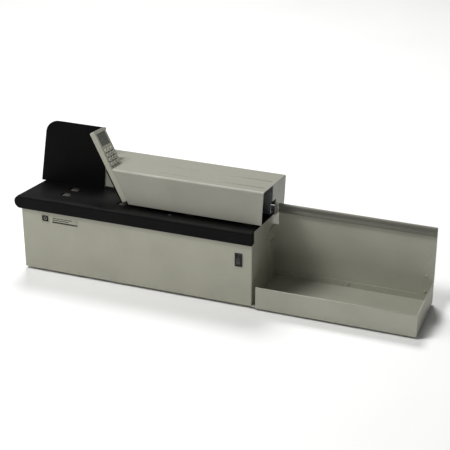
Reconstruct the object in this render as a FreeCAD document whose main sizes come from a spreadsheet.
"""Table-top franking machine with a tilted letter deck, a hinged transport cover and a catch tray.

Three frames are used. CABINET starts at the front left bottom corner of the cabinet, on the table.
DECK lies on the letter deck: X along the machine, Y up the deck's depth, Z square to the deck, which
falls to the rear by the tilt. PANEL lies on the leaning control panel: X across it, Y up it, Z out
of the face that carries the keys.
"""
import FreeCAD, Part
import math
import os
import re

import Sketcher
from FreeCAD import Placement, Rotation, Vector

DRIVING = {
    # where the cabinet's corner stands, so that the footprint is centred on the origin
    "origin_x": -406, "origin_y": -94,
    # common small sizes
    "play": 0.3, "bend": 2, "screw_rad": 1.5, "screw_len": 6, "head_rad": 3, "head_thick": 2,
    "rivet_rad": 1.6,
    # cabinet
    "cab_len": 495, "cab_depth": 190, "cab_low": 6, "front_top": 139.5, "skin": 1.5, "flange": 14,
    "foot_rad": 9, "foot_inset": 32, "rear_flange_top": 110, "rear_top": 137, "vent_x": 60,
    "vent_y": 50, "vent_wide": 3, "vent_long": 40, "vent_pitch": 8,
    "badge_x": 44, "badge_z": 115, "badge_mark": 18, "badge_strip": 56, "badge_thick": 0.6,
    # letter deck
    "tilt": 9, "deck_y": 4.5, "deck_z": 167.6, "deck_run": 186, "deck_thick": 2, "nose_rad": 14,
    "rail_out": 4, "rail_deep": 12, "rail_top": 168, "rail_round": 6, "slot_half": 10.5,
    # hopper
    "plate_left": -12, "plate_right": 130, "plate_top": 131, "plate_at": 114, "plate_thick": 3,
    "plate_round": 28, "plate_slope": 10.2,
    # transport cover, in the deck's frame
    "cover_left": 150, "cover_round": 5, "cover_front": 26, "cover_back": 171, "cover_low": 6,
    "cover_top": 73, "cover_end": 503,
    "cover_skin": 2, "rear_left": 100, "rear_front": 118, "mouth_to": 88, "slot_to": 113,
    "slot_top": 38, "hinge_back": 177, "hinge_up": 5, "pin_rad": 2, "knuckle_rad": 4.5,
    # control panel
    "lean": 30, "panel_x": 211, "panel_up": 8, "panel_wide": 50, "panel_high": 151,
    "panel_thick": 10, "panel_wall": 2, "panel_low_run": 72, "key_wide": 9.4, "key_high": 6.6,
    "key_out": 2.2, "key_gap": 0.4, "key_pitch_x": 13, "key_pitch_y": 9.6, "key_first_x": 12,
    "key_first_y": 78, "lens_low": 117, "lens_high": 27, "lens_wide": 38,
    # rollers, all at one height below the deck
    "nudger_x": 80, "feed_x": 205, "platen_x": 350, "exit_x": 470, "shaft_from": 11.5,
    "shaft_to": 134, "belt_at": 126.5, "belt_wide": 6, "frame_left": 55, "frame_right": 490,
    "bridge_left": 240, "bridge_right": 490, "motor_shaft": 3,
    "shaft_rad": 4, "wheel_rad": 14, "wheel_out": 1.2, "wheel_wide": 15, "wheel_near": 35,
    "wheel_far": 75, "frame_near": 14, "frame_far": 122, "frame_thick": 2, "front_drop": 46,
    "rear_drop": 60,
    "bush_rad": 6, "bush_len": 5, "running": 0.05, "pulley_rad": 8, "belt_thick": 1.4,
    "idler_rad": 8, "nip": 0.3, "bridge_thick": 3, "bridge_top": 58, "motor_x": 318,
    "motor_drop": 46, "motor_rad": 21, "motor_len": 44,
    # mains switch and inlet
    "switch_x": 467.5, "switch_z": 104.5, "bezel_wide": 15.2, "bezel_high": 28.4,
    "bezel_out": 1.5, "body_wide": 12.4, "body_high": 25.6, "body_deep": 20, "well_wide": 9.4,
    "well_high": 23.6, "well_deep": 12, "rocker_in": 3, "rocker_turn": 20, "rocker_wide": 8.8,
    "rocker_half": 10.8, "rocker_peak": 5.5, "rocker_edge": 3.6, "stub_rad": 1.2,
    "stub_span": 11.2, "inlet_x": 425, "inlet_z": 48, "inlet_wide": 26, "inlet_high": 19,
    "inlet_deep": 18, "inlet_rim": 3, "inlet_wall": 2,
    # electronics inside the cabinet
    "supply_x": 330, "supply_y": 105, "supply_long": 145, "supply_wide": 65, "supply_high": 50,
    "ear": 8, "card_x": 30, "card_y": 30, "card_z": 22, "card_long": 170, "card_wide": 125,
    "card_thick": 1.6, "post_rad": 4, "chip_high": 4, "meter_x": 220, "meter_y": 45,
    "meter_long": 90, "meter_wide": 100, "meter_high": 48, "window_long": 74, "window_high": 14,
    # print head and its cartridge, above the platen roller
    "head_front": 40, "head_up": 3, "head_top": 45, "head_long": 60, "cartridge_long": 50,
    "cartridge_back": 100, "cartridge_top": 66,
    # catch tray
    "tray_x": 503.5, "tray_front": -3, "tray_len": 321.5, "tray_back": 138, "lip_top": 51,
    "wall_top": 170, "wall_step": 122, "band_high": 18, "band_thick": 5, "tray_floor": 6,
    "tab_wide": 31, "tab_low": 70, "link": 8.5,
}

doc = FreeCAD.newDocument("franking_machine")
sheet = doc.addObject("Spreadsheet::Sheet", "Sheet")
for row, (alias, value) in enumerate(DRIVING.items(), start=1):
    sheet.set(f"A{row}", alias)
    sheet.set(f"B{row}", str(value))
    sheet.setAlias(f"B{row}", alias)
doc.recompute()

NAMES = re.compile(r"\b(" + "|".join(sorted(DRIVING, key=len, reverse=True)) + r")\b")
ALONG_X = Rotation(Vector(0, 1, 0), 90)
ALONG_Y = Rotation(Vector(1, 0, 0), -90)
ALONG_Z = Rotation()


def val(alias):
    """A driving value as a number."""
    return float(sheet.get(alias))


def bind(thing, prop, text):
    """Bind a property to an expression written with the sheet's names."""
    thing.setExpression(prop, NAMES.sub(r"Sheet.\1", str(text)))


CABINET = Placement(Vector(val("origin_x"), val("origin_y"), 0), Rotation())
TRAY = CABINET.multiply(Placement(Vector(val("tray_x"), 0, 0), Rotation()))
DECK = CABINET.multiply(Placement(Vector(0, val("deck_y"), val("deck_z")),
                                  Rotation(Vector(1, 0, 0), -val("tilt"))))
# the panel's X runs up the deck's depth, its Y leans to the left, its Z points right and up
PANEL = DECK.multiply(Placement(Vector(val("panel_x"), val("cover_front"), val("panel_up")),
                                Rotation(Vector(0, 0, 1), 90).multiply(
                                    Rotation(Vector(1, 0, 0), 90 - val("lean")))))
subparts = []


def place(thing, at):
    """Put a thing at three expressions."""
    for axis, text in zip("xyz", at):
        bind(thing, f"Placement.Base.{axis}", text)


def box(at, dims):
    """A block with its low corner at one place."""
    thing = doc.addObject("Part::Box", "Block")
    for prop, text in zip(("Length", "Width", "Height"), dims):
        bind(thing, prop, text)
    place(thing, at)
    return thing


def rod(at, radius, length, turn=ALONG_Y):
    """A round bar that starts at one place; it runs up the Y axis unless turned another way."""
    thing = doc.addObject("Part::Cylinder", "Rod")
    thing.Placement = Placement(Vector(), turn)
    bind(thing, "Radius", radius)
    bind(thing, "Height", length)
    place(thing, at)
    return thing


def cut(base, *tools):
    """Take each tool away from the base."""
    for tool in tools:
        result = doc.addObject("Part::Cut", "Cut")
        result.Base = base
        result.Tool = tool
        base = result
    return base


def fuse(*pieces):
    """Join pieces into one solid."""
    result = doc.addObject("Part::MultiFuse", "Fuse")
    result.Shapes = list(pieces)
    return result


def common(first, second):
    """What two solids share."""
    result = doc.addObject("Part::MultiCommon", "Common")
    result.Shapes = [first, second]
    return result


def subpart(label, frame, *pieces):
    """Name a finished sub-part and place it in its frame; several pieces stay separate solids."""
    holder = doc.addObject("Part::Compound", "Holder")
    holder.Links = list(pieces)
    holder.Label = label
    holder.Placement = frame
    subparts.append(holder)
    return holder


def plane(body, name):
    """One of the body's own three planes."""
    return next(item for item in body.Origin.OriginFeatures if item.Role == name)


def outline(body, on, points, offset):
    """A closed outline on one of the body's own planes, each corner bound to two expressions."""
    sketch = body.newObject("Sketcher::SketchObject", "Outline")
    sketch.AttachmentSupport = [(plane(body, on), "")]
    sketch.MapMode = "FlatFace"
    sign = "-1 * " if on == "XZ_Plane" else ""
    bind(sketch, "AttachmentOffset.Base.z", f"{sign}({offset})")
    guess = [Vector(10 * math.cos(turn), 10 * math.sin(turn), 0)
             for turn in (2 * math.pi * step / len(points) for step in range(len(points)))]
    for here, there in zip(guess, guess[1:] + guess[:1]):
        sketch.addGeometry(Part.LineSegment(here, there), False)
    last = len(points) - 1
    for index in range(len(points)):
        after = 0 if index == last else index + 1
        sketch.addConstraint(Sketcher.Constraint("Coincident", index, 2, after, 1))
    for index, corner in enumerate(points):
        for kind, text in zip(("DistanceX", "DistanceY"), corner):
            number = sketch.addConstraint(Sketcher.Constraint(kind, -1, 1, index, 1, 1.0))
            bind(sketch, f"Constraints[{number}]", text)
    return sketch


def pad(body, on, points, start, length):
    """Add a prism from start to start + length along the plane's own axis."""
    sketch = outline(body, on, points, start)
    feature = body.newObject("PartDesign::Pad", "Pad")
    feature.Profile = sketch
    bind(feature, "Length", length)
    feature.Reversed = on == "XZ_Plane"
    return feature


def pocket(body, on, points, start, length):
    """Cut a prism from start to start + length, and check that it removed material."""
    doc.recompute()
    before = body.Shape.Volume
    sketch = outline(body, on, points, start)
    feature = body.newObject("PartDesign::Pocket", "Pocket")
    feature.Profile = sketch
    feature.Type = 0
    bind(feature, "Length", length)
    feature.Reversed = on != "XZ_Plane"
    doc.recompute()
    if body.Shape.Volume > before - 0.01:
        raise RuntimeError(f"a pocket in {body.Label} removed nothing")
    return feature


def rectangle(left, low, right, high):
    """Four corners for an outline."""
    return [(left, low), (right, low), (right, high), (left, high)]


def new_body(name):
    """An empty body for pads, pockets and fillets."""
    return doc.addObject("PartDesign::Body", name)


def round_edges(body, radius, choose):
    """Fillet the edges of the body's present shape that the test picks."""
    doc.recompute()
    feature = body.Tip
    names = [f"Edge{number}" for number, edge in enumerate(feature.Shape.Edges, start=1)
             if len(edge.Vertexes) == 2 and choose(edge.Vertexes[0].Point, edge.Vertexes[1].Point)]
    if not names:
        raise RuntimeError(f"no edge to round in {body.Label}")
    fillet = body.newObject("PartDesign::Fillet", "Fillet")
    fillet.Base = (feature, names)
    bind(fillet, "Radius", radius)
    return fillet


def near(*pairs):
    """Whether every pair of numbers is nearly the same."""
    return all(abs(one - other) < 0.05 for one, other in pairs)


def under(depth):
    """Height of the deck plate's underside above the table at one depth of the cabinet."""
    return f"deck_z - ({depth} - deck_y) * tan(tilt) - deck_thick / cos(tilt)"


def tilted(thing):
    """Carry a tool drawn in the deck's frame into the cabinet's frame."""
    carrier = doc.addObject("Part::Compound", "Carrier")
    carrier.Links = [thing]
    carrier.Placement = CABINET.inverse().multiply(DECK)
    return carrier


def leaning(thing):
    """Carry a tool drawn in the panel's frame into the deck's frame."""
    carrier = doc.addObject("Part::Compound", "Carrier")
    carrier.Links = [thing]
    carrier.Placement = DECK.inverse().multiply(PANEL)
    return carrier


def screw(at, turn, back):
    """A pan-head screw; the shank runs along the turn's axis, the head stands on the other side."""
    shank = rod(at, "screw_rad", "screw_len", turn)
    head_at = [f"{text} - {step} * head_thick" for text, step in zip(at, back)]
    head = rod(head_at, "head_rad", "head_thick", turn)
    return fuse(shank, head)


def bores(points, turn, radius, length):
    """Drills for a row of holes."""
    return [rod(at, radius, length, turn) for at in points]


# ------------------------------------------------------------------ cabinet shell
shell = new_body("CabinetShell")
pad(shell, "YZ_Plane",
    [("0", "cab_low"), ("cab_depth", "cab_low"), ("cab_depth", under("cab_depth")),
     ("rail_deep", under("rail_deep")), ("rail_deep", "front_top"), ("0", "front_top")],
    "0", "cab_len")
round_edges(shell, "bend", lambda one, other: near((one.y, 0), (other.y, 0), (one.x, other.x)))
pocket(shell, "YZ_Plane",
       [("skin", "cab_low + skin"), ("cab_depth + 1", "cab_low + skin"),
        ("cab_depth + 1", "deck_z"), ("rail_deep", "deck_z"),
        ("rail_deep", "front_top - skin"), ("skin", "front_top - skin")],
       "skin", "cab_len - 2 * skin")
pocket(shell, "XY_Plane", rectangle("flange", "flange", "cab_len - flange", "cab_depth + 1"),
       "cab_low - 1", "skin + 2")
pocket(shell, "XZ_Plane",
       rectangle("switch_x - body_wide / 2", "switch_z - body_high / 2",
                 "switch_x + body_wide / 2", "switch_z + body_high / 2"), "-1", "skin + 2")
# inward flanges down both rear edges, for the rear panel's screws
pad(shell, "XZ_Plane", rectangle("skin", "cab_low + 2 * skin", "flange", "rear_flange_top"),
    "cab_depth - 2 * skin", "skin")
pad(shell, "XZ_Plane",
    rectangle("cab_len - flange", "cab_low + 2 * skin", "cab_len - skin", "rear_flange_top"),
    "cab_depth - 2 * skin", "skin")

BASE_SCREWS = [(x, y, "cab_low") for x in ("flange / 2", "cab_len - flange / 2")
               for y in ("cab_depth * 0.2", "cab_depth * 0.8")]
REAR_SCREWS = [(x, "cab_depth", z) for x in ("flange / 2 + 1", "cab_len - flange / 2 - 1")
               for z in ("rear_flange_top * 0.25", "rear_flange_top * 0.9")]
TRAY_SCREWS = [("tray_x - link + skin", "tray_back - 22", z) for z in ("40", "100")]
TO_FRONT = Rotation(Vector(1, 0, 0), 90)
TO_LEFT = Rotation(Vector(0, 1, 0), -90)

screw_holes = (bores(BASE_SCREWS, ALONG_Z, "screw_rad", "screw_len")
               + bores(REAR_SCREWS, TO_FRONT, "screw_rad", "screw_len")
               + bores(TRAY_SCREWS, TO_LEFT, "screw_rad", "screw_len"))
subpart("base_cabinet", CABINET, cut(shell, *screw_holes))

# ------------------------------------------------------------------ base plate with cooling slots
floor = box(("skin + play", "skin + play", "cab_low + skin"),
            ("cab_len - 2 * (skin + play)", "cab_depth - 3 * skin - 2 * play", "skin"))
vents = [box((f"vent_x + {step} * vent_pitch", "vent_y", "cab_low"), ("vent_wide", "vent_long", "20"))
         for step in range(10)]
subpart("base_plate", CABINET,
        cut(floor, *vents, *bores(BASE_SCREWS, ALONG_Z, "screw_rad", "screw_len")))

# ------------------------------------------------------------------ rear panel
sheet_back = box(("skin + play", "cab_depth - skin", "cab_low + 2 * skin"),
                 ("cab_len - 2 * (skin + play)", "skin", "rear_top - cab_low - 2 * skin"))
louvres = [box((f"vent_x + {step} * vent_pitch", "cab_depth - 5", "70"),
               ("vent_wide", "10", "vent_long")) for step in range(10)]
inlet_hole = box(("inlet_x - inlet_wide / 2", "cab_depth - 5", "inlet_z - inlet_high / 2"),
                 ("inlet_wide", "10", "inlet_high"))
subpart("rear_panel", CABINET,
        cut(sheet_back, *louvres, inlet_hole,
            *bores(REAR_SCREWS, TO_FRONT, "screw_rad", "screw_len")))

# ------------------------------------------------------------------ screws
subpart("cabinet_screws", CABINET,
        *[screw(at, ALONG_Z, (0, 0, 1)) for at in BASE_SCREWS],
        *[screw(at, TO_FRONT, (0, -1, 0)) for at in REAR_SCREWS],
        *[screw(at, TO_LEFT, (-1, 0, 0)) for at in TRAY_SCREWS])

# ------------------------------------------------------------------ feet under cabinet and tray
foot_spots = [(x, y) for x in ("foot_inset", "cab_len - foot_inset")
              for y in ("foot_inset", "cab_depth - foot_inset")]
foot_spots += [(x, y) for x in ("tray_x + foot_inset", "tray_x + tray_len - foot_inset")
               for y in ("foot_inset", "tray_back - foot_inset")]
feet = []
for index, (x, y) in enumerate(foot_spots):
    top = "cab_low + skin" if index < 4 else "tray_floor"
    feet.append(rod((x, y, "0"), "foot_rad", top, ALONG_Z))
subpart("rubber_feet", CABINET, *feet)

# ------------------------------------------------------------------ blank badge on the front
subpart("badge_plate", CABINET,
        box(("badge_x", "-badge_thick", "badge_z"), ("badge_mark", "badge_thick", "badge_mark")),
        box(("badge_x + badge_mark + 6", "-badge_thick", "badge_z + 1"),
            ("badge_strip", "badge_thick", "badge_mark - 3")))

# ------------------------------------------------------------------ mains switch
collar = box(("switch_x - bezel_wide / 2", "-bezel_out", "switch_z - bezel_high / 2"),
             ("bezel_wide", "bezel_out", "bezel_high"))
barrel = box(("switch_x - body_wide / 2", "0", "switch_z - body_high / 2"),
             ("body_wide", "body_deep", "body_high"))
well = box(("switch_x - well_wide / 2", "-bezel_out - 1", "switch_z - well_high / 2"),
           ("well_wide", "bezel_out + 1 + well_deep", "well_high"))
pivot_bore = rod(("switch_x - 10", "rocker_in", "switch_z"), "stub_rad + running", "20", ALONG_X)
subpart("switch_housing", CABINET, cut(fuse(collar, barrel), well, pivot_bore))

rocker = new_body("Rocker")
pad(rocker, "YZ_Plane",
    [("-rocker_peak", "0"), ("-rocker_edge", "-rocker_half"), ("0", "-rocker_half"),
     ("4", "-4"), ("4", "4"), ("0", "rocker_half"), ("-rocker_edge", "rocker_half")],
    "-rocker_wide / 2", "rocker_wide")
stub = rod(("-stub_span / 2", "0", "0"), "stub_rad", "stub_span", ALONG_X)
ROCKER = CABINET.multiply(Placement(Vector(val("switch_x"), val("rocker_in"), val("switch_z")),
                                    Rotation(Vector(1, 0, 0), -val("rocker_turn") / 2)))
subpart("switch_rocker", ROCKER, fuse(rocker, stub))

# ------------------------------------------------------------------ mains inlet
inlet_flange = box(("inlet_x - inlet_wide / 2 - inlet_rim", "cab_depth",
                    "inlet_z - inlet_high / 2 - inlet_rim"),
                   ("inlet_wide + 2 * inlet_rim", "2", "inlet_high + 2 * inlet_rim"))
inlet_barrel = box(("inlet_x - inlet_wide / 2", "cab_depth - inlet_deep",
                    "inlet_z - inlet_high / 2"), ("inlet_wide", "inlet_deep", "inlet_high"))
socket = box(("inlet_x - inlet_wide / 2 + inlet_wall", "cab_depth + 3 - inlet_deep",
              "inlet_z - inlet_high / 2 + inlet_wall"),
             ("inlet_wide - 2 * inlet_wall", "inlet_deep", "inlet_high - 2 * inlet_wall"))
subpart("inlet_housing", CABINET, cut(fuse(inlet_flange, inlet_barrel), socket))
subpart("inlet_pins", CABINET,
        *[box((f"inlet_x - 1 + {across}", "cab_depth + 3 - inlet_deep", f"inlet_z - 2 + {up}"),
              ("2", "inlet_deep - 6", "4")) for across, up in ((-7, -2), (0, 2), (7, -2))])

# ------------------------------------------------------------------ front rail of the letter path
nosing = new_body("Nosing")
pad(nosing, "YZ_Plane",
    [("-rail_out", "front_top"), ("rail_deep", "front_top"), ("rail_deep", "rail_top"),
     ("-rail_out", "rail_top")], "-nose_rad", "nose_rad + cab_len")
round_edges(nosing, "rail_round",
            lambda one, other: near((one.y, -val("rail_out")), (other.y, -val("rail_out")),
                                    (one.z, val("rail_top")), (other.z, val("rail_top"))))
round_edges(nosing, "2",
            lambda one, other: near((one.y, -val("rail_out")), (other.y, -val("rail_out")),
                                    (one.z, val("front_top")), (other.z, val("front_top"))))
rail_half = "(rail_top - front_top) / 2"
end_round = rod(("1", "-20", f"front_top + {rail_half}"), rail_half, "60", ALONG_Y)
rest_of_rail = box(("1", "-20", "front_top"), ("cab_len + 20", "60", "rail_top - front_top"))
subpart("front_rail", CABINET,
        cut(common(nosing, fuse(end_round, rest_of_rail)),
            tilted(box(("-30", "0", "-60"), ("30", "60", "90"))),
            tilted(box(("-30", "0", "-deck_thick"), ("cab_len + 60", "60", "30")))))

# ------------------------------------------------------------------ electronics on the base plate
FLOOR_TOP = "cab_low + 2 * skin"
case = box(("supply_x", "supply_y", FLOOR_TOP), ("supply_long", "supply_wide", "supply_high"))
ears = box(("supply_x - ear", "supply_y + 15", FLOOR_TOP),
           ("supply_long + 2 * ear", "supply_wide - 30", "2"))
subpart("power_supply", CABINET, fuse(case, ears))

card = box(("card_x", "card_y", "card_z"), ("card_long", "card_wide", "card_thick"))
posts = [rod((x, y, FLOOR_TOP), "post_rad", f"card_z - ({FLOOR_TOP})", ALONG_Z)
         for x in ("card_x + ear", "card_x + card_long - ear")
         for y in ("card_y + ear", "card_y + card_wide - ear")]
CHIPS = [("30", "30", "38", "14"), ("30", "65", "38", "14"), ("95", "40", "28", "28")]
chips = [box((f"card_x + {x}", f"card_y + {y}", "card_z + card_thick"),
             (length, width, "chip_high")) for x, y, length, width in CHIPS]
subpart("control_board", CABINET, fuse(card, *posts, *chips))

meter = box(("meter_x", "meter_y", FLOOR_TOP), ("meter_long", "meter_wide", "meter_high"))
counter_window = box(("meter_x + ear", "meter_y - 5", "30"), ("window_long", "ear", "window_high"))
subpart("meter_module", CABINET, cut(meter, counter_window))

# ------------------------------------------------------------------ letter deck
ROLLERS = {"nudger": "nudger_x", "feed": "feed_x", "platen": "platen_x", "exit": "exit_x"}
AXLE = "wheel_out - wheel_rad"
lane_near = ("wheel_near - 2", "wheel_wide + 4")
lane_far = ("wheel_far - 2", "wheel_wide + 4")
lane_all = ("wheel_near - 2", "wheel_far + wheel_wide - wheel_near + 4")
windows = []
for name, x in ROLLERS.items():
    for start, run in ([lane_all] if name == "feed" else [lane_near, lane_far]):
        windows.append(box((f"{x} - slot_half", start, "-10"), ("2 * slot_half", run, "20")))
plate = box(("0", "0", "-deck_thick"), ("cab_len", "deck_run", "deck_thick"))
subpart("deck_plate", DECK, cut(plate, *windows))
subpart("deck_end_cap", DECK,
        cut(rod(("1", "0", "-nose_rad"), "nose_rad", "deck_run", ALONG_Y),
            box(("0", "-5", "-50"), ("40", "deck_run + 10", "60"))))

# ------------------------------------------------------------------ hopper back plate
back = new_body("BackPlate")
pad(back, "XZ_Plane",
    [("plate_left", "0"), ("plate_left + plate_slope", "plate_top"), ("plate_right", "plate_top"),
     ("plate_right", "0")], "plate_at", "plate_thick")
round_edges(back, "plate_round",
            lambda one, other: near((one.z, val("plate_top")), (other.z, val("plate_top")),
                                    (one.x, val("plate_left") + val("plate_slope")),
                                    (other.x, one.x)))
pad(back, "XY_Plane", rectangle("2", "plate_at + plate_thick", "cover_left - 54",
                                "plate_at + plate_thick + 18"), "0", "plate_thick")
subpart("hopper_back_plate", DECK, back)

# ------------------------------------------------------------------ mechanism side frames
MOTOR_DOWN = "-motor_drop"


def side_frame(label, start, drop, flange_from, extra):
    """An upright plate that carries the rollers' bushes, hung from the deck by its top flange."""
    body = new_body("SideFrame")
    pad(body, "XZ_Plane", rectangle("frame_left", f"-{drop}", "frame_right", "-deck_thick"),
        start, "frame_thick")
    pad(body, "XY_Plane", rectangle("frame_left", flange_from, "frame_right",
                                    f"{flange_from} + flange"),
        "-deck_thick - frame_thick", "frame_thick")
    holes = [rod((x, f"{start} - 5", AXLE), "bush_rad", "frame_thick + 10", ALONG_Y)
             for x in ROLLERS.values()]
    subpart(label, DECK, cut(body, *holes, *extra))


side_frame("mech_frame_front", "frame_near", "front_drop", "frame_near", [])
side_frame("mech_frame_rear", "frame_far", "rear_drop", "frame_far + frame_thick - flange",
           [rod(("motor_x", "frame_far - 5", MOTOR_DOWN), "motor_shaft + 1", "20", ALONG_Y)])
bushes = []
for x in ROLLERS.values():
    for start in ("frame_near - 1.5", "frame_far - 1.5"):
        bushes.append(cut(rod((x, start, AXLE), "bush_rad", "bush_len", ALONG_Y),
                          rod((x, f"{start} - 5", AXLE), "shaft_rad + running", "bush_len + 10",
                              ALONG_Y)))
subpart("shaft_bushes", DECK, *bushes)

# ------------------------------------------------------------------ rollers below the deck
for name, x in ROLLERS.items():
    axle = rod((x, "shaft_from", AXLE), "shaft_rad", "shaft_to - shaft_from", ALONG_Y)
    pulley = rod((x, "belt_at", AXLE), "pulley_rad", "belt_wide", ALONG_Y)
    pieces = [axle, pulley]
    if name == "platen":
        pieces.append(rod((x, "belt_at + belt_wide", AXLE), "shaft_rad", "4 + belt_wide", ALONG_Y))
        pieces.append(rod((x, "belt_at + belt_wide + 3", AXLE), "pulley_rad", "belt_wide",
                          ALONG_Y))
    subpart(f"{name}_shaft", DECK, fuse(*pieces))
    lanes = ([("wheel_near", "wheel_far + wheel_wide - wheel_near")] if name == "feed"
             else [("wheel_near", "wheel_wide"), ("wheel_far", "wheel_wide")])
    tyres = [cut(rod((x, start, AXLE), "wheel_rad", run, ALONG_Y),
                 rod((x, f"{start} - 5", AXLE), "shaft_rad", f"{run} + 10", ALONG_Y))
             for start, run in lanes]
    subpart(f"{name}_wheels", DECK, *tyres)

# ------------------------------------------------------------------ toothed belts, motor
BELT_IN = "pulley_rad + nip"
BELT_OUT = "pulley_rad + nip + belt_thick"


def flat_loop(radius, at, wide):
    """The filled outline of a belt around the first and last rollers."""
    middle = box(("nudger_x", at, f"{AXLE} - ({radius})"),
                 ("exit_x - nudger_x", wide, f"2 * ({radius})"))
    ends = [rod((x, at, AXLE), radius, wide, ALONG_Y) for x in ("nudger_x", "exit_x")]
    return fuse(middle, *ends)


long_belt = cut(flat_loop(BELT_OUT, "belt_at + 0.5", "belt_wide - 1"),
                flat_loop(BELT_IN, "belt_at - 5", "belt_wide + 10"))


def steep_loop(radius, at, wide):
    """The filled outline of the belt from the motor up to the platen roller."""
    rise = f"({AXLE} + motor_drop)"
    span = f"sqrt((platen_x - motor_x)^2 + {rise}^2)"
    strip = box(("0", "0", f"-({radius})"), (span, wide, f"2 * ({radius})"))
    carrier = doc.addObject("Part::Compound", "Carrier")
    carrier.Links = [strip]
    height = val("wheel_out") - val("wheel_rad") + val("motor_drop")
    angle = math.degrees(math.atan2(height, val("platen_x") - val("motor_x")))
    carrier.Placement = Placement(Vector(), Rotation(Vector(0, 1, 0), -angle))
    place(carrier, ("motor_x", at, MOTOR_DOWN))
    return fuse(carrier, rod(("motor_x", at, MOTOR_DOWN), radius, wide, ALONG_Y),
                rod(("platen_x", at, AXLE), radius, wide, ALONG_Y))


MOTOR_BELT = "belt_at + belt_wide + 3"
short_belt = cut(steep_loop(BELT_OUT, f"{MOTOR_BELT} + 0.5", "belt_wide - 1"),
                 steep_loop(BELT_IN, f"{MOTOR_BELT} - 2", "belt_wide + 4"))
subpart("drive_belts", DECK, long_belt, short_belt)

can = rod(("motor_x", "frame_far - motor_len", MOTOR_DOWN), "motor_rad", "motor_len", ALONG_Y)
subpart("drive_motor", DECK,
        cut(can, rod(("motor_x", "frame_far - 30", MOTOR_DOWN), "motor_shaft + running", "40",
                     ALONG_Y)))
subpart("motor_shaft_pulley", DECK,
        fuse(rod(("motor_x", "frame_far - 29", MOTOR_DOWN), "motor_shaft",
                 "29 + belt_at + 2 * belt_wide + 4 - frame_far", ALONG_Y),
             rod(("motor_x", MOTOR_BELT, MOTOR_DOWN), "pulley_rad", "belt_wide", ALONG_Y)))

# ------------------------------------------------------------------ bridge above the letter path
IDLERS = {"transport_idler": "feed_x + 70", "exit_idler": "exit_x"}
PRESS = "wheel_out + nip + idler_rad"
bridge = new_body("Bridge")
pad(bridge, "XZ_Plane", rectangle("bridge_left", "0", "bridge_right", "bridge_top"), "frame_far",
    "bridge_thick")
pad(bridge, "XY_Plane", rectangle("bridge_left", "frame_far + bridge_thick", "bridge_right",
                                  "frame_far + bridge_thick + flange"), "0", "frame_thick")
subpart("bridge_frame", DECK,
        cut(bridge, *[rod((x, "frame_far - 5", PRESS), "shaft_rad + running", "20", ALONG_Y)
                      for x in IDLERS.values()]))
for label, x in IDLERS.items():
    parts = [rod((x, "wheel_near - 2", PRESS), "shaft_rad", "frame_far + 7 - wheel_near",
                 ALONG_Y)]
    parts += [rod((x, f"{start} + 1", PRESS), "idler_rad", "wheel_wide - 2", ALONG_Y)
              for start in ("wheel_near", "wheel_far")]
    subpart(label, DECK, fuse(*parts))

head = new_body("PrintHead")
pad(head, "YZ_Plane",
    [("head_front", "head_up + 7"), ("head_front + 8", "head_up"), ("frame_far", "head_up"),
     ("frame_far", "head_top"), ("head_front", "head_top")],
    "platen_x - head_long / 2", "head_long")
subpart("print_head", DECK, head)
cartridge = new_body("Cartridge")
pad(cartridge, "YZ_Plane",
    [("head_front + 5", "head_top"), ("cartridge_back", "head_top"),
     ("cartridge_back", "cartridge_top - 6"), ("cartridge_back - 6", "cartridge_top"),
     ("head_front + 11", "cartridge_top"), ("head_front + 5", "cartridge_top - 6")],
    "platen_x - cartridge_long / 2", "cartridge_long")
subpart("ink_cartridge", DECK, cartridge)

# ------------------------------------------------------------------ cover hinge, fixed half
HINGES = ("cover_left + 65", "exit_x - 15")
brackets = []
for x in HINGES:
    wings = [rod((f"{x} {side}", "hinge_back", "hinge_up"), "knuckle_rad", "9", ALONG_X)
             for side in ("- 14", "+ 5")]
    blocks = [box((f"{x} {side}", "hinge_back - 3", "0"), ("9", "6", "hinge_up"))
              for side in ("- 14", "+ 5")]
    seat = box((f"{x} - 14", "hinge_back - 3", "0"), ("28", "10", "0.4"))
    pin = rod((f"{x} - 14", "hinge_back", "hinge_up"), "pin_rad", "28", ALONG_X)
    brackets.append(fuse(*wings, *blocks, seat, pin))
subpart("hinge_brackets", DECK, *brackets)

# ------------------------------------------------------------------ transport cover
hood = new_body("Hood")
pad(hood, "XY_Plane",
    [("cover_left", "cover_front"), ("cover_end", "cover_front"), ("cover_end", "cover_back"),
     ("rear_left", "cover_back"), ("rear_left", "rear_front"), ("cover_left", "rear_front")],
    "cover_low", "cover_top - cover_low")
round_edges(hood, "cover_round",
            lambda one, other: near((one.z, val("cover_top")), (other.z, val("cover_top")),
                                    (one.y, other.y)) and one.y < 30 or
            near((one.z, val("cover_top")), (other.z, val("cover_top")),
                 (one.y, val("cover_back")), (other.y, one.y)))
pocket(hood, "XY_Plane",
       [("cover_left + cover_skin", "cover_front + cover_skin"),
        ("cover_end + 5", "cover_front + cover_skin"),
        ("cover_end + 5", "cover_back - cover_skin"),
        ("rear_left + cover_skin", "cover_back - cover_skin"),
        ("rear_left + cover_skin", "rear_front + cover_skin"),
        ("cover_left + cover_skin", "rear_front + cover_skin")],
       "cover_low - 1", "cover_top - cover_low + 1 - cover_skin")
# the rear box's front wall runs on to the leaning end
pad(hood, "XY_Plane", rectangle("cover_left", "rear_front", "panel_x", "rear_front + cover_skin"),
    "cover_low", "cover_top - cover_low - 1")
left_of_lean = leaning(box(("-8", "-60", "-150"), ("rear_front - cover_front + 8", "260", "150")))
slab_room = leaning(box(("-8", "-30", "-5"),
                        ("panel_wide + 8", "panel_high + 40", "5 + panel_thick")))
subpart("transport_cover", DECK, cut(hood, left_of_lean, slab_room))

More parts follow.
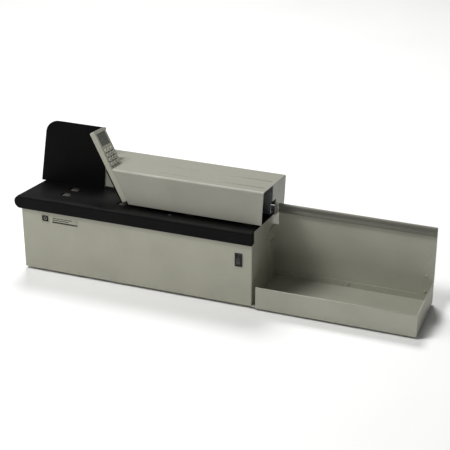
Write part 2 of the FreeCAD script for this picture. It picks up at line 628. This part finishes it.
guard = new_body("Guard")
pad(guard, "YZ_Plane",
    [("mouth_to", "cover_top - cover_skin"), ("mouth_to", "slot_top"), ("slot_to", "slot_top"),
     ("slot_to", "cover_low - 3"), ("cover_back - cover_skin", "cover_low - 3"),
     ("cover_back - cover_skin", "cover_top - cover_skin")], "cover_end - 2", "2")
subpart("cover_end_guard", DECK, guard)
leaves = []
for x in HINGES:
    wing = box((f"{x} - 4.7", "cover_back", "hinge_up - 3"), ("9.4", "2", "18"))
    ring = rod((f"{x} - 4.7", "hinge_back", "hinge_up"), "knuckle_rad", "9.4", ALONG_X)
    leaf = fuse(wing, ring)
    leaves.append(cut(leaf, rod((f"{x} - 10", "hinge_back", "hinge_up"), "pin_rad + running",
                                "20", ALONG_X)))
subpart("cover_hinge_leaves", DECK, *leaves)

# ------------------------------------------------------------------ leaning control panel
subpart("separator_plate", PANEL,
        box(("0", "0", "-3"), ("rear_front - cover_front", "panel_low_run", "3")))
housing = new_body("PanelHousing")
pad(housing, "XY_Plane", rectangle("0", "0", "panel_wide", "panel_high"), "0", "panel_thick")
round_edges(housing, "3",
            lambda one, other: near((one.y, val("panel_high")), (other.y, val("panel_high")),
                                    (one.x, other.x)))
pocket(housing, "XY_Plane",
       rectangle("panel_wall", "panel_wall", "panel_wide - panel_wall",
                 "panel_high - panel_wall"), "-1", "panel_thick - panel_wall + 1")
pocket(housing, "XY_Plane",
       rectangle("(panel_wide - lens_wide) / 2", "lens_low", "(panel_wide + lens_wide) / 2",
                 "lens_low + lens_high"), "panel_thick - panel_wall - 1", "panel_wall + 2")
KEYS = [(f"key_first_x + {column} * key_pitch_x", f"key_first_y + {line} * key_pitch_y")
        for line in range(4) for column in range(3)]
key_holes = [box((f"{x} - key_wide / 2 - key_gap", f"{y} - key_high / 2 - key_gap",
                  "panel_thick - panel_wall - 1"),
                 ("key_wide + 2 * key_gap", "key_high + 2 * key_gap", "panel_wall + 2"))
             for x, y in KEYS]
subpart("control_housing", PANEL, cut(housing, *key_holes))
subpart("display_window", PANEL,
        box(("(panel_wide - lens_wide) / 2", "lens_low", "panel_thick - panel_wall"),
            ("lens_wide", "lens_high", "panel_wall - 0.4")))
subpart("keypad_plate", PANEL,
        box(("panel_wall", "key_first_y - 10", "panel_thick - 7"),
            ("panel_wide - 2 * panel_wall", "3 * key_pitch_y + 20", "1")))
for number, (x, y) in enumerate(KEYS, start=1):
    cap = box((f"{x} - key_wide / 2", f"{y} - key_high / 2", "panel_thick - 4"),
              ("key_wide", "key_high", "key_out + 4"))
    brim = box((f"{x} - key_wide / 2 - 1", f"{y} - key_high / 2 - 1", "panel_thick - 4"),
               ("key_wide + 2", "key_high + 2", "1.4"))
    subpart(f"key_{number:02d}", PANEL, fuse(cap, brim))

# ------------------------------------------------------------------ catch tray
pan = new_body("Pan")
pad(pan, "XY_Plane",
    [("-link", "tray_front + skin"), ("tray_len", "tray_front + skin"), ("tray_len", "tray_back"),
     ("skin - link", "tray_back"), ("skin - link", "tray_back - 33"), ("-link", "tray_back - 33")],
    "tray_floor", "skin")
pad(pan, "XZ_Plane", rectangle("0", "tray_floor - 1", "tray_len", "lip_top"), "tray_front", "skin")
pad(pan, "YZ_Plane", rectangle("tray_front", "tray_floor - 1", "tray_back", "lip_top"),
    "tray_len - skin", "skin")
pad(pan, "XZ_Plane",
    [("tray_len - tab_wide", "tray_floor"), ("tray_len", "tray_floor"), ("tray_len", "wall_step"),
     ("tray_len - tab_wide", "tab_low")], "tray_back - skin", "skin")
pad(pan, "XZ_Plane", rectangle("0", "tray_floor", "tray_len", "tray_floor + flange"),
    "tray_back - skin", "skin")
RIVETS = [("tray_len - tab_wide / 2", z) for z in ("tray_floor + 20", "tab_low - 8")]
RIVETS += [(x, "tray_floor + flange / 2 + 2") for x in ("30", "150")]
rivet_bores = [rod((x, "tray_back - 10", z), "rivet_rad", "20", ALONG_Y) for x, z in RIVETS]
subpart("tray_pan", TRAY, cut(pan, *rivet_bores))

wall = new_body("Wall")
pad(wall, "XZ_Plane",
    [("-link", "tray_floor"), ("tray_len", "tray_floor"), ("tray_len", "wall_top"),
     ("1", "wall_top"), ("1", "wall_step"), ("-link", "wall_step")], "tray_back", "skin")
pad(wall, "YZ_Plane", rectangle("tray_back - 33", "tray_floor", "tray_back", "wall_step"),
    "-link", "skin")
screw_bores = [rod(("-link + 20", y, z), "screw_rad", "40", TO_LEFT) for _, y, z in TRAY_SCREWS]
wall_bores = [rod((x, "tray_back - 10", z), "rivet_rad", "20", ALONG_Y) for x, z in RIVETS]
subpart("tray_back_wall", TRAY, cut(wall, *screw_bores, *wall_bores))

strip = new_body("Strip")
pad(strip, "XZ_Plane", rectangle("1", "wall_top - band_high", "tray_len", "wall_top"),
    "tray_back - band_thick", "band_thick")
pocket(strip, "XZ_Plane",
       rectangle("-5", "wall_top - band_high + 6", "tray_len + 5", "wall_top - 5"),
       "tray_back - band_thick - 1", "2.5")
subpart("tray_top_strip", TRAY, strip)
rivets = []
for x, z in RIVETS:
    rivets.append(fuse(rod((x, "tray_back - skin - 1", z), "rivet_rad + 1.5", "1", ALONG_Y),
                       rod((x, "tray_back - skin", z), "rivet_rad", "2 * skin", ALONG_Y),
                       rod((x, "tray_back + skin", z), "rivet_rad + 1.5", "1", ALONG_Y)))
subpart("tray_rivets", TRAY, *rivets)

# ------------------------------------------------------------------ check and write
doc.recompute()
os.makedirs("parts", exist_ok=True)
for item in doc.Objects:
    if "Invalid" in item.State or "Error" in item.State:
        raise RuntimeError(f"{item.Name} {item.Label} failed: {item.State}")
for item in subparts:
    if item.Shape.isNull() or not item.Shape.isValid() or not item.Shape.Solids:
        raise RuntimeError(f"{item.Label} has no sound shape")
    item.Shape.exportStep(f"parts/{item.Label}.step")
    limits = item.Shape.BoundBox
    print(item.Label, len(item.Shape.Solids), "solids", round(item.Shape.Volume / 1000, 2), "cm3",
          [round(number, 1) for number in (limits.XMin, limits.YMin, limits.ZMin, limits.XMax,
                                           limits.YMax, limits.ZMax)])
